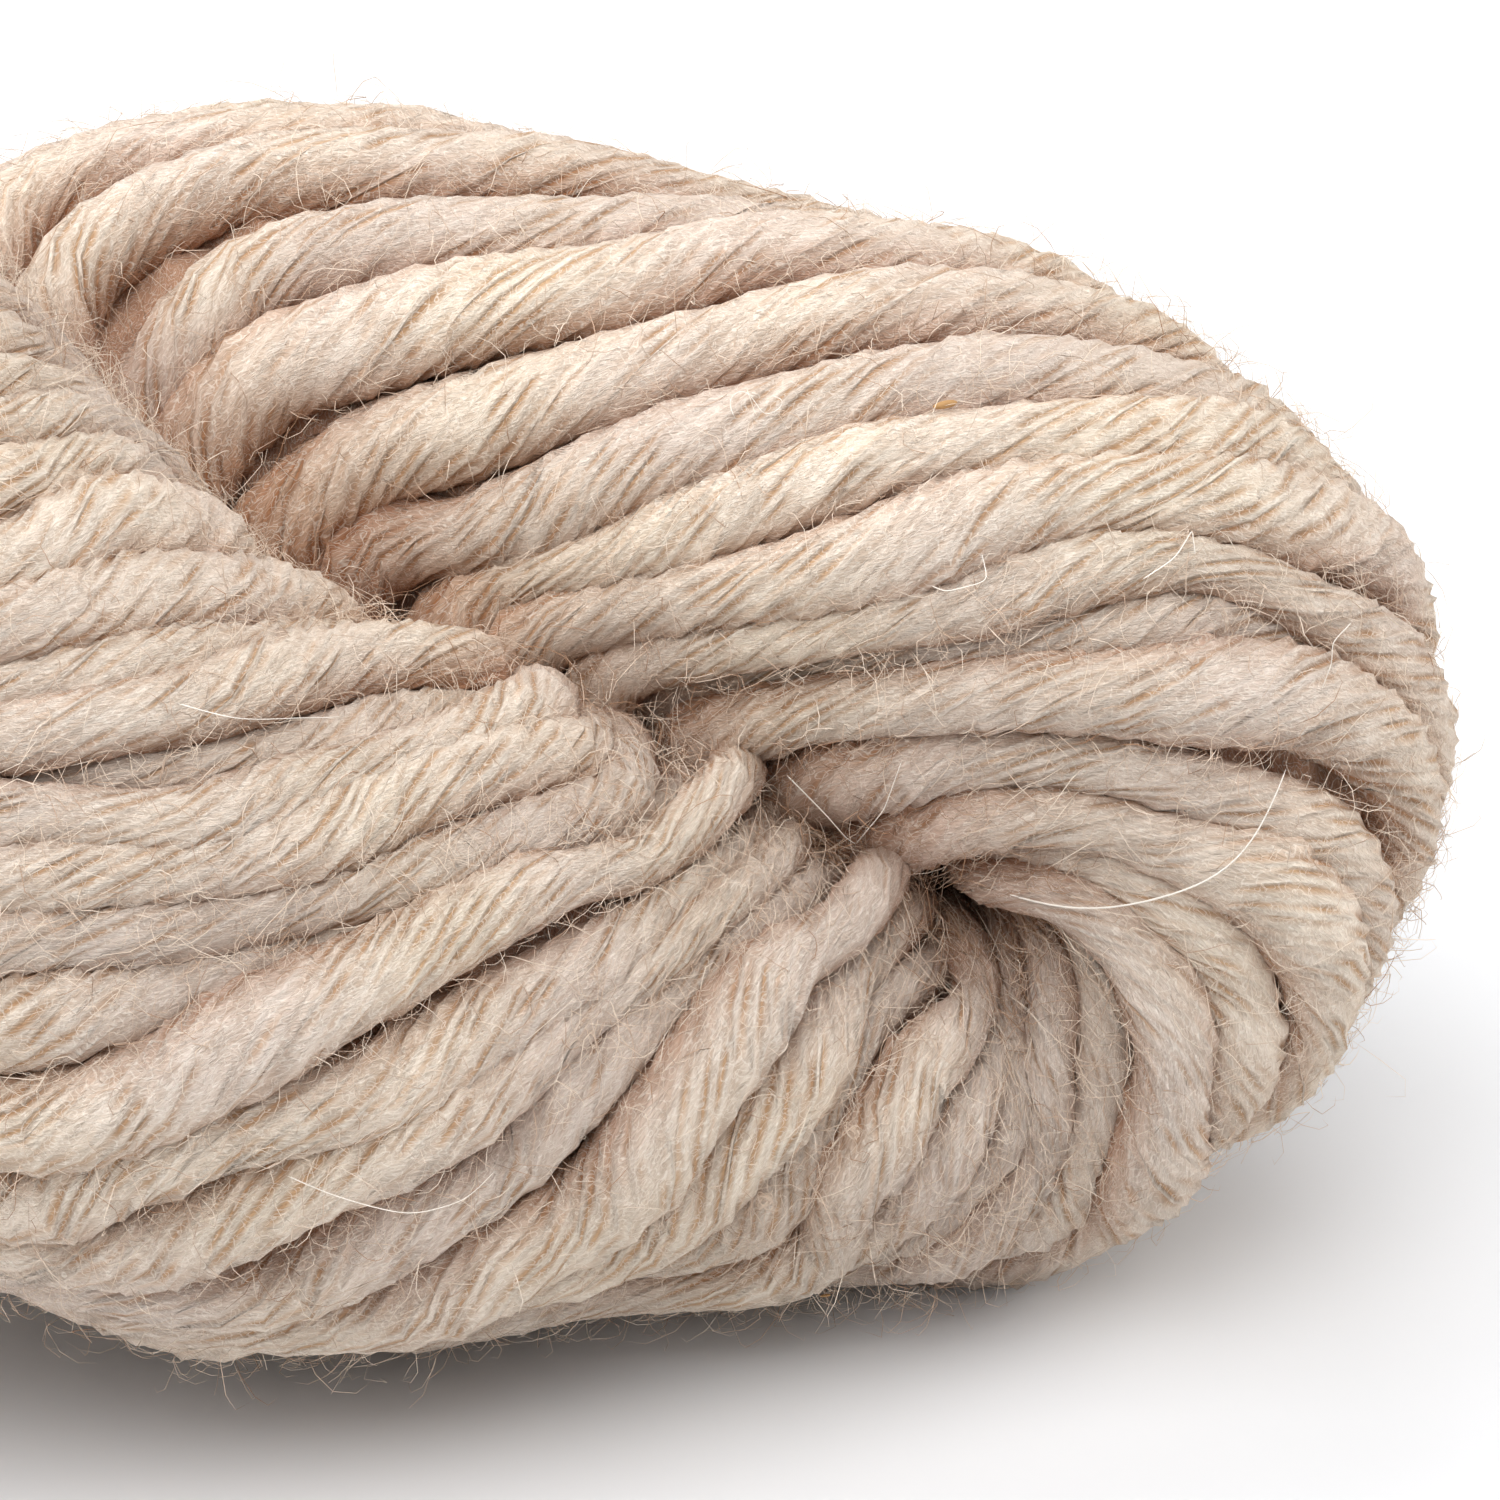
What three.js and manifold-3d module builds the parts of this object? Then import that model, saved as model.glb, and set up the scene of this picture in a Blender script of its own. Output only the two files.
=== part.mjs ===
// Twisted hank of bulky wool yarn, lying on its side. Sizes are in millimetres, +Z is up.
// A skein was twisted hard and folded, so that its two halves wrap round each other: bundle A and
// bundle B are one closed loop, which turns back at an eye at each end of the hank.
// +X runs along the hank to the end where the yarn fans out round its eye. The origin lies on the
// surface under the middle of the hank's box.

import * as THREE from "three";
import { mergeVertices } from "three/addons/utils/BufferGeometryUtils.js";
import Module from "manifold-3d";

const EYE_SPAN = 204; // between the eyes of the two folds
const PLY_TURN = 205; // length in which the bundles go once round each other, right-handed
const FOLD_LEAN = 80; // degrees from level of bundle B over bundle A at the fanned fold's eye
const FOLD_ARC = 50; // way along a bundle's middle round one fold
const EYE_HEIGHT = { fanned: 26.5, plain: 36.5 };

// A bundle's thickness is measured away from the hank's middle and its width across that.
const LYING_BESIDE = { thick: 50, wide: 58, spine: 33 };
const LYING_ON = { thick: 39, wide: 58, spine: 39 };
const TAPER = { thick: 58, wide: 90, spine: 50 }; // reach of a fold's own sizes along the hank
const PRESSED = 0.92; // share of half the thickness that is left where the bundles press together
const FLATTENED = 0.85; // inner half of a section against the radius of a tighter bend
const GIVE = 15; // half of the stretch over which the springy bundle evens out its changes

// Round a fold, from bundle B through the end of the hank to bundle A
const FOLD_SECTIONS = [
  { angle: 0, thick: 42, wide: 48 },
  { angle: 45, thick: 38, wide: 46 },
  { angle: 90, thick: 33, wide: 43 },
  { angle: 135, thick: 25, wide: 41 },
  { angle: 180, thick: 30, wide: 42 },
];

// Places where the loop is fuller or leaner, by the way from the start of the fanned fold
const SWELLS = [
  { at: -44, reach: 28, wide: 8, lift: 4.5 },
  { at: 78, reach: 24, wide: 3, lift: 1 },
  { at: 106, reach: 26, wide: -6, lift: -3 },
];

const STRANDS = 15; // strands of yarn that show round a bundle
const STRANDS_PASSED = 96; // strands that cross one line along the bundle over the whole loop
const STRAND_GROOVE = 1.3; // depth of the groove between two strands
const GROOVES_CLOSE = { start: 120, shut: 150 }; // degrees from outside towards the other bundle
const POINTS_A_STRAND = 3; // one in the groove and two on the strand

// How hard the strands are twisted, against the mean, by the way round the loop
const TWIST = [
  { at: 0, hard: 1 },
  { at: 46, hard: 1.2 },
  { at: 80, hard: 1.2 },
  { at: 125, hard: 1 },
  { at: 290, hard: 0.95 },
  { at: 440, hard: 0.9 },
  { at: 508, hard: 1 },
];

const RINGS = 41; // sections along one half of the loop
const MERGED = 1e-3; // corners that lie closer than this are one
const TURN = 2 * Math.PI;
const HALF_LOOP = FOLD_ARC + EYE_SPAN; // way from the middle of one fold to that of the other
const LOOP = 2 * HALF_LOOP; // counted in steps of about a millimetre
const RIM = STRANDS * POINTS_A_STRAND;

const { lerp, degToRad, radToDeg, smoothstep, euclideanModulo } = THREE.MathUtils;

// A value from a table's column, straight between the rows
function fromTable(rows, key, column, at) {
  const after = rows.findIndex((row) => row[key] >= at);
  if (after < 1) return rows.at(after)[column];
  const [low, high] = [rows[after - 1], rows[after]];
  return lerp(
    low[column],
    high[column],
    (at - low[key]) / (high[key] - low[key]),
  );
}

// Where a way round the loop lies: the place along the hank, and the angle turned in the folds.
// The loop runs through the fanned fold, back along A, through the plain fold and along B.
function placeOf(way) {
  const backAlongA = way - FOLD_ARC;
  const inPlainFold = backAlongA - EYE_SPAN;
  if (backAlongA < 0) return { x: 0, turned: (way / FOLD_ARC) * 180 };
  if (inPlainFold < 0) return { x: -backAlongA, turned: 180 };
  if (inPlainFold < FOLD_ARC)
    return { x: -EYE_SPAN, turned: 180 + (inPlainFold / FOLD_ARC) * 180 };
  return { x: way - LOOP, turned: 360 };
}

// The section before the bundle evens out: its middle, the way out from the hank's middle, and
// half its thickness and width.
function roughSection(way) {
  const { x, turned } = placeOf(way);
  const lean = degToRad(FOLD_LEAN + (360 * x) / PLY_TURN);
  const round = degToRad(turned);
  const out = new THREE.Vector3(
    Math.sin(round),
    Math.cos(round) * Math.cos(lean),
    Math.cos(round) * Math.sin(lean),
  );

  const atFanned = -x < EYE_SPAN / 2;
  const fromEye = atFanned ? -x : EYE_SPAN + x;
  const folded = euclideanModulo(turned - (atFanned ? 0 : 180), 360);
  const ofBody = (key) => lerp(LYING_BESIDE[key], LYING_ON[key], Math.sin(lean) ** 2);
  const tapered = (key, atFold) =>
    lerp(atFold, ofBody(key), smoothstep(fromEye, 0, TAPER[key]));
  const thick = tapered("thick", fromTable(FOLD_SECTIONS, "angle", "thick", folded));
  const spine = tapered("spine", atFanned ? EYE_HEIGHT.fanned : EYE_HEIGHT.plain);

  let wide = tapered("wide", fromTable(FOLD_SECTIONS, "angle", "wide", folded));
  let lift = 0;
  for (const swell of SWELLS) {
    const off = euclideanModulo(way - swell.at + LOOP / 2, LOOP) - LOOP / 2;
    const share = smoothstep(1 - Math.abs(off) / swell.reach, 0, 1);
    wide += swell.wide * share;
    lift += swell.lift * share;
  }
  const middle = new THREE.Vector3(x, 0, spine + lift).addScaledVector(
    out,
    (thick / 2) * PRESSED,
  );
  return { middle, out, halfThick: thick / 2, halfWide: wide / 2 };
}

// The sections of the whole loop, each the weighted mean of its neighbours within the give
function evenSections() {
  const rough = Array.from({ length: LOOP }, (_, way) => roughSection(way));
  const weights = Array.from({ length: 2 * GIVE + 1 }, (_, i) =>
    Math.sin((Math.PI * (i + 1)) / (2 * GIVE + 2)) ** 2,
  );
  const all = weights.reduce((sum, weight) => sum + weight);
  return rough.map((_, way) => {
    const even = {
      middle: new THREE.Vector3(),
      out: new THREE.Vector3(),
      halfThick: 0,
      halfWide: 0,
    };
    weights.forEach((weight, i) => {
      const near = rough[euclideanModulo(way + i - GIVE, LOOP)];
      even.middle.addScaledVector(near.middle, weight / all);
      even.out.addScaledVector(near.out, weight / all);
      even.halfThick += (near.halfThick * weight) / all;
      even.halfWide += (near.halfWide * weight) / all;
    });
    return even;
  });
}

// Turns each section square to the loop, and adds how far the strands have turned up to it. The
// side towards the hank's middle is flattened where the loop bends tighter than it is thick.
function squareSections(sections) {
  let twisted = 0;
  sections.forEach((section, way) => {
    const next = sections[(way + 1) % LOOP].middle;
    const last = sections[(way + LOOP - 1) % LOOP].middle;
    const along = next.clone().sub(last);
    const turnedBy = next.clone().add(last).addScaledVector(section.middle, -2);
    const bend = along.lengthSq() / 4 / turnedBy.length();
    section.halfInner = Math.min(section.halfThick, FLATTENED * bend);
    section.twisted = twisted;
    twisted += along.length() * fromTable(TWIST, "at", "hard", way);
    along.normalize();
    section.out.addScaledVector(along, -section.out.dot(along)).normalize();
    section.across = along.clone().cross(section.out);
  });
  for (const section of sections)
    section.twisted *= (TURN * STRANDS_PASSED) / STRANDS / twisted;
  return sections;
}

// A point of a section's rim. The spokes turn with the strands, every third one in a groove. The
// grooves close up where the two bundles press together.
function rimPoint(section, spoke) {
  const angle = (TURN * spoke) / RIM - section.twisted;
  const inward = radToDeg(Math.acos(Math.cos(angle)));
  const shut = smoothstep(inward, GROOVES_CLOSE.start, GROOVES_CLOSE.shut);
  const groove = spoke % POINTS_A_STRAND ? 0 : STRAND_GROOVE * (1 - shut);
  const thick = Math.cos(angle) > 0 ? section.halfThick : section.halfInner;
  return section.middle
    .clone()
    .addScaledVector(section.out, (thick - groove) * Math.cos(angle))
    .addScaledVector(section.across, (section.halfWide - groove) * Math.sin(angle));
}

// Half of the loop from a way round it: a cylinder bent onto the rings along the bundle. Past the
// loop's end each spoke has moved on by the strands passed.
function halfLoop(loop, from) {
  const half = new THREE.CylinderGeometry(1, 1, 1, RIM, RINGS);
  const corners = half.attributes.position;
  for (let i = 0; i < corners.count; i++) {
    const corner = new THREE.Vector3().fromBufferAttribute(corners, i);
    const way = Math.round(from + (corner.y + 0.5) * HALF_LOOP);
    const section = loop[way % LOOP];
    const moved = way < LOOP ? 0 : STRANDS_PASSED * POINTS_A_STRAND;
    const spoke = Math.round((Math.atan2(corner.x, corner.z) / TURN) * RIM);
    const onRim = Math.hypot(corner.x, corner.z) > 0.5;
    const { x, y, z } = onRim
      ? rimPoint(section, euclideanModulo(spoke - moved, RIM))
      : section.middle;
    corners.setXYZ(i, x, y, z);
  }
  return half;
}

const wasm = await Module();
wasm.setup();

function solidOf(geometry) {
  geometry.deleteAttribute("normal");
  geometry.deleteAttribute("uv");
  const merged = mergeVertices(geometry, MERGED);
  return new wasm.Manifold(
    new wasm.Mesh({
      numProp: 3,
      vertProperties: merged.attributes.position.array,
      triVerts: new Uint32Array(merged.index.array),
    }),
  );
}

function geometryOf(solid) {
  const mesh = solid.getMesh();
  return new THREE.BufferGeometry()
    .setAttribute("position", new THREE.BufferAttribute(mesh.vertProperties, 3))
    .setIndex(new THREE.BufferAttribute(mesh.triVerts, 1));
}

// The body alone, without the sealed pockets that are left between the bundles. Merging corners
// can part another tiny pocket from the body, so this goes on until there is none.
function outsideOf(geometry) {
  const bodies = solidOf(geometry).decompose();
  const [body] = bodies.sort((a, b) => b.volume() - a.volume());
  return bodies.length > 1 ? outsideOf(geometryOf(body)) : geometryOf(body);
}

// The two halves of the loop joined to one solid, cut off level where it lies on the surface
function hankGeometry() {
  const loop = squareSections(evenSections());
  const bundleA = halfLoop(loop, FOLD_ARC / 2);
  const bundleB = halfLoop(loop, FOLD_ARC / 2 + HALF_LOOP);
  const joined = solidOf(bundleA).add(solidOf(bundleB));
  const room = 2 * LOOP;
  const above = new THREE.BoxGeometry(room, room, room).translate(0, 0, room / 2);
  const lying = geometryOf(joined.intersect(solidOf(above)));
  lying.computeBoundingBox();
  const middle = lying.boundingBox.getCenter(new THREE.Vector3());
  lying.translate(-middle.x, -middle.y, 0);
  const geometry = outsideOf(lying);
  geometry.computeVertexNormals();
  return geometry;
}

const undyedWool = new THREE.MeshStandardMaterial({
  color: 0xd9c3b1,
  roughness: 0.95,
  metalness: 0,
});

const hank = new THREE.Mesh(hankGeometry(), undyedWool);
hank.name = "hank";

const group = new THREE.Group();
group.add(hank);

export default group;
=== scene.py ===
"""Looks of a twisted hank of bulky wool yarn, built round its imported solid.

The form is worked out as the solid's is, in millimetres. Then strands of plied yarn are laid over it,
with their loose fibres, and all of it is brought into the frame, in metres.
"""

import math

import bmesh
import bpy
import numpy as np
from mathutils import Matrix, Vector

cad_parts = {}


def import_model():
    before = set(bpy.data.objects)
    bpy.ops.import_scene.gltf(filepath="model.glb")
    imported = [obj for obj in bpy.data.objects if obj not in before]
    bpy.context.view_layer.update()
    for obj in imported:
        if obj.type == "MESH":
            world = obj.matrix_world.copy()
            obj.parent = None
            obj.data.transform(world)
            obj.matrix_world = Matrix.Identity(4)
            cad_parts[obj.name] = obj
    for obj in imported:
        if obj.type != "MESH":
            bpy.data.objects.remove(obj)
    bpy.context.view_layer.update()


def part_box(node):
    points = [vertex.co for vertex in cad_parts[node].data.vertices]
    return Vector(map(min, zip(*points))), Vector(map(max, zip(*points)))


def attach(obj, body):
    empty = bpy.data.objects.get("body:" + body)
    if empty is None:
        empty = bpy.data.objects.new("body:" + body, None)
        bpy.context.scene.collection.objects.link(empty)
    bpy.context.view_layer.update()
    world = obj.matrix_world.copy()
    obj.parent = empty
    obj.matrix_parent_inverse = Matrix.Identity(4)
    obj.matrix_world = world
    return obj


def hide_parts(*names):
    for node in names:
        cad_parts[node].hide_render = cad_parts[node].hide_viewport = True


MM = 0.001
TURN = 2 * math.pi

# The form, as in the solid. Ways round the loop and lengths are in millimetres, angles in degrees.
EYE_SPAN = 204  # between the eyes of the two folds
PLY_TURN = 205  # length in which the bundles go once round each other
FOLD_LEAN = 80  # from level of bundle B over bundle A at the fanned fold's eye
FOLD_ARC = 50  # way along a bundle's middle round one fold
EYE_HEIGHT = {"fanned": 26.5, "plain": 36.5}
LYING_BESIDE = {"thick": 50, "wide": 58, "spine": 33}
LYING_ON = {"thick": 39, "wide": 58, "spine": 39}
TAPER = {"thick": 58, "wide": 90, "spine": 50}  # reach of a fold's own sizes along the hank
PRESSED = 0.92  # share of half the thickness that is left where the bundles press together
INNER_HALF = 0.95  # of the radius of a tighter bend, a little more than in the solid
GIVE = 15  # half of the stretch over which the springy bundle evens out its changes
# Round a fold, from bundle B through the end of the hank to bundle A
FOLD_SECTIONS = {
    "angle": (0, 45, 90, 135, 180),
    "thick": (42, 38, 33, 25, 30),
    "wide": (48, 46, 43, 41, 42),
}
# Places where the loop is fuller or leaner, by the way from the start of the fanned fold
SWELLS = (
    {"at": -44, "reach": 28, "wide": 8, "lift": 4.5},
    {"at": 78, "reach": 24, "wide": 3, "lift": 1},
    {"at": 106, "reach": 26, "wide": -6, "lift": -3},
)
# How hard the strands are twisted, against the mean, by the way round the loop
TWIST = {
    "at": (0, 46, 80, 125, 290, 440, 508),
    "hard": (1, 1.2, 1.2, 1, 0.95, 0.9, 1),
}
STRANDS = 15  # strands of yarn that show round a bundle
PASSES = 96  # strands that cross one line along the bundle over the whole loop, twisted evenly
HALF_LOOP = FOLD_ARC + EYE_SPAN
LOOP = 2 * HALF_LOOP
PRESS = 0.7  # the yarn gives this much where it lies on the surface

# The yarn
STRAND = 5.6  # thickness of a strand of yarn
PLIES = 16  # thin plies twisted into a strand, as ridges on it
PLY_LAY = 32  # length in which a ply goes once round its strand
PLY_WANDER = 0.14  # radians that a ply strays from its even lay
PLY_SWELL = 0.07  # how far a ply stands out or sinks, as a share of the strand
PLY_GROOVE = {"mean": 0.09, "varies": 0.11, "most": 0.2}  # depth between two plies, also as a share
POINTS_A_PLY = 2
SPOKES = PLIES * POINTS_A_PLY
RING_SPACING = {"near": 2.7, "far": 5.4}  # along a strand, by the fanned fold and elsewhere

# The passes of the strands over the bundle, from the crease on one side to the crease on the other
PASS_END = 166  # degrees from outside at which a pass dives between the bundles
PASS_POINTS = 160
FIRST_PASS = -20  # a pass crosses the middle of bundle B's fanned end at number 0
NEAR_PASSES = (-13, 31.5)  # those round the fanned fold, where the fine work goes
# Bundle A has thinner strands there, which lie closer. Numbers on its even twist:
CLOSE_PASSES = (
    17, 17.6, 18.4, 19.1, 20, 20.6, 21.1, 21.7, 22.2, 22.7, 23.2, 23.7, 24.4, 25.2, 25.9, 26.4, 26.9,
    27.5, 28.1, 28.7, 29.3, 29.9, 30.6, 31.3,
)  # fmt: skip
EVEN_AGAIN = 32  # from this number on, the strands lie evenly again
SUNK_PASSES = (4.5,)  # strands that lie deeper, between two others
SEED = 7

# How far strands lie ahead of an even twist round the fanned fold, in millimetres along the bundle.
# The angle is from the bundle's outside, in degrees.
ROUTES = (
    {"number": -2, "angle": (70, 79, 98, 124), "ahead": (0, -2, -1, 1)},
    {"number": -1, "angle": (0, 49, 83, 111, 130), "ahead": (-1, -1, -2, -2.5, -1)},
    {"number": 0, "angle": (17, 45, 82, 97, 112, 134), "ahead": (6.5, 5, 4, 2.5, 1, -1)},
    {"number": 1, "angle": (15, 45, 79, 109, 132), "ahead": (4, 2.5, 3, 2, -2.5)},
    {"number": 2, "angle": (31, 57, 93, 120), "ahead": (4, 1, 1, -2)},
    {"number": 3, "angle": (5, 42, 76, 94, 121), "ahead": (-5, -0.5, 1, -1, -5)},
    {"number": 4, "angle": (34, 52, 76, 94, 119), "ahead": (0, -3, -0.5, -2.5, -6)},
    {"number": 5, "angle": (9, 70, 98, 120), "ahead": (-5, 0, -2, -6)},
    {"number": 6, "angle": (55, 75, 89, 103, 121), "ahead": (0, 1.5, 0.5, -3, -7)},
    {"number": 7, "angle": (59, 87, 104, 125), "ahead": (-2.5, 0.5, 0.5, -5.5)},
    {"number": 9, "angle": (33, 56, 70, 104, 112, 121), "ahead": (-3.5, -1, -1, -0.5, -3.5, -6)},
    {"number": 11, "angle": (37, 65, 83, 103, 137), "ahead": (0, 4, 1, -1, 0)},
    {"number": 13, "angle": (18, 46, 65, 84, 106, 123), "ahead": (-10, -3, -1.5, 2.5, 4, 5)},
    {"number": 14, "angle": (23, 52, 74, 101), "ahead": (-10, -1, 3.5, 6.5)},
    {"number": 16, "angle": (24, 43, 61, 77, 100, 123), "ahead": (-7.5, -4, -2, 0, 1, 2.5)},
    {"number": 17, "angle": (-18, 0, 18, 34, 54, 83, 140), "ahead": (-7, -4, -2.5, -1, 0, 0.5, -2)},
    {"number": 17.6, "angle": (-25, 2, 16, 40, 52, 82), "ahead": (-2.5, -1, -0.5, -0.5, 0.5, 1)},
    {"number": 18.4, "angle": (-28, -13, 2, 23, 54), "ahead": (-2.5, -0.5, 0.5, 0, -0.5)},
    {"number": 19.1, "angle": (-32, -16, 8, 28, 47, 70, 83), "ahead": (-2.5, 0, 1.5, -0.5, -1, -3, -3.5)},
    {"number": 20, "angle": (-19, -4, 26, 46, 66, 78, 94, 126), "ahead": (-2, -1, 1, 0.5, 0, -3, -5, -7)},
    {"number": 21.1, "angle": (2, 12, 36, 47, 66, 78, 94), "ahead": (1, 0.5, 0, -1, -2.5, -4, -6)},
    {"number": 21.7, "angle": (8, 18, 30, 65, 78, 94, 113), "ahead": (1, 0.5, -0.5, -1, -2, -4.5, -5.5)},
    {"number": 22.2, "angle": (14, 23, 48, 59, 71, 86, 107), "ahead": (1, 0, -1, -1, -2.5, -3.5, -5)},
    {"number": 23.2, "angle": (17, 38, 58, 72, 96, 116, 122), "ahead": (-1, -0.5, 0.5, 0.5, -1, -4, -6)},
    {"number": 24.4, "angle": (26, 35, 50, 76, 100, 114), "ahead": (-2, -1, 0, 1, 1.5, -2)},
    {"number": 25.2, "angle": (30, 40, 50, 62, 86), "ahead": (-3, -2, 0, 0.5, 2.5)},
    {"number": 26.4, "angle": (42, 54, 66, 78), "ahead": (-2, 0, 1, 2)},
)
# A strand goes back to the even twist over so many degrees before and after its row
BACK_TO_EVEN = {"before": 45, "after": 60}
# Strands beyond the table's ends follow its last rows less and less, over so many numbers
ROUTES_FADE = 6
ROUTES_EVENED = 17  # points of a pass over which its way is evened
# Strands that stand proud or lie deeper there, in millimetres, and their fullness. Some rise in a
# head before they bend down sharply into the crease, and end at an angle short of it. Builds begin
# on the side that the photo doesn't show, and heads near the crease, both in degrees from outside.
BUILD_BEGINS = {"from": -50, "over": 60}
HEAD_BEGINS = {"from": 85, "over": 25}
BUILDS = {
    -1: {"proud": 0.4, "full": 1.08},
    3: {"proud": 0.8, "full": 1.15},
    4: {"proud": 0.5, "full": 1.1},
    4.5: {"proud": -1.7, "full": 1.1},
    5: {"proud": 0.2, "full": 1.05},
    7: {"proud": 0.5, "full": 1.1},
    8: {"proud": -0.4, "full": 1.05},
    9: {"proud": 1.3, "full": 1.15},
    10: {"proud": -1.1, "full": 0.95},
    12: {"proud": -0.8, "full": 0.9},
    15: {"proud": -1.1, "full": 0.9},
    17: {"proud": 1.4, "full": 1.12, "head": 1.6, "ends": 140},
    20: {"proud": 0.9, "full": 1.08, "head": 2.4, "ends": 142},
    20.6: {"proud": -0.8, "full": 1.1},
    21.1: {"proud": 0.2, "full": 1.15},
    21.7: {"proud": 0.6, "full": 1.3},
    22.2: {"proud": 0.8, "full": 1.3},
    22.7: {"proud": -1.4, "full": 0.95},
    23.2: {"proud": 0.8, "full": 1.3},
    23.7: {"proud": -0.4, "full": 1.1},
    24.4: {"proud": 0.3, "full": 1.15},
    25.2: {"proud": 0.4, "full": 1.15},
}

# How uneven the winding is, in millimetres: how far strands stray along the bundle, rise and sink,
# and how much their fullness varies, as a share. The waves' lengths are along a strand.
SLACK = {"even": 0.8, "fitted": 0.3}
# The strands that were fitted to the photo stray less, on the side that it shows
FITTED = {"numbers": (-2, 28), "from": -60, "over": 60}
UPS_AND_DOWNS = 0.45
SUNK_MOST = 0.8
FULLER = 0.07
SLOW_WAVES = (90, 16)
RIDGE_WAVES = (60, 9, 4)
WANDER_WAVES = (45, 12, 3)
A_RADIAN = 22  # length of a strand over one radian round the bundle, near enough for the waves
# Between strands, along the bundle: none lies further from the next one than the widest of these,
# or closer than the narrowest share of the even pitch. They shift a part of the excess each round.
SPREAD = {"widest_share": 1.13, "widest": 5.2, "narrowest_share": 0.6, "shift": 0.25, "rounds": 200}
# Half the width of a strand: its share of the room beside it, within limits. In the photo's sight
# the strands are slimmer. Elsewhere, wide ones close the gaps where the bundle swells.
ROOM = (2.2, 7.4)
ROOM_EVENED = 11  # points of a pass over which the room beside it is evened
HALF_WIDTH = {"share": 0.61, "least": 1.7, "most": 3.3, "share_more": 0.03, "most_more": 1.1}
UNSEEN = {"from": 15, "over": 40}  # degrees from outside, towards the side away from the photo
HALF_HEIGHT = {"share": 0.92, "least": 1.8}
END_TAPER = {"length": 3, "least": 0.25}  # a strand's ends narrow to this share
CREASE = {"from": 100, "over": 55}  # degrees from outside at which painted shade darkens the strands in the crease
SHADED = {"groove": 0.6, "crease": 0.7}  # how much a ply's groove and the crease add to the painted shade
# The patterns start elsewhere on neighbouring strands: so far along, and the same again after so many
PATTERN_SHIFT = {"along": 40, "strands": 7}


def smooth(t):
    """Smooth step from 0 to 1."""
    t = np.clip(t, 0, 1)
    return t * t * (3 - 2 * t)


def rising(values, zone):
    """0 up to where a zone begins, 1 past its end, and smooth in between."""
    return smooth((values - zone["from"]) / zone["over"])


def unit(vectors):
    """The vectors at length 1."""
    return vectors / np.linalg.norm(vectors, axis=-1, keepdims=True)


def evened(values, points):
    """A soft moving mean along a row of values, over an odd number of points."""
    window = np.hanning(points + 2)[1:-1]
    return np.convolve(np.pad(values, points // 2, "edge"), window / window.sum(), "valid")


def linear(hex_colour):
    """An sRGB hex colour as linear RGBA."""
    parts = [int(hex_colour[k : k + 2], 16) / 255 for k in (0, 2, 4)]
    straight = [part / 12.92 if part < 0.04045 else ((part + 0.055) / 1.055) ** 2.4 for part in parts]
    return (*straight, 1.0)


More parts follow.
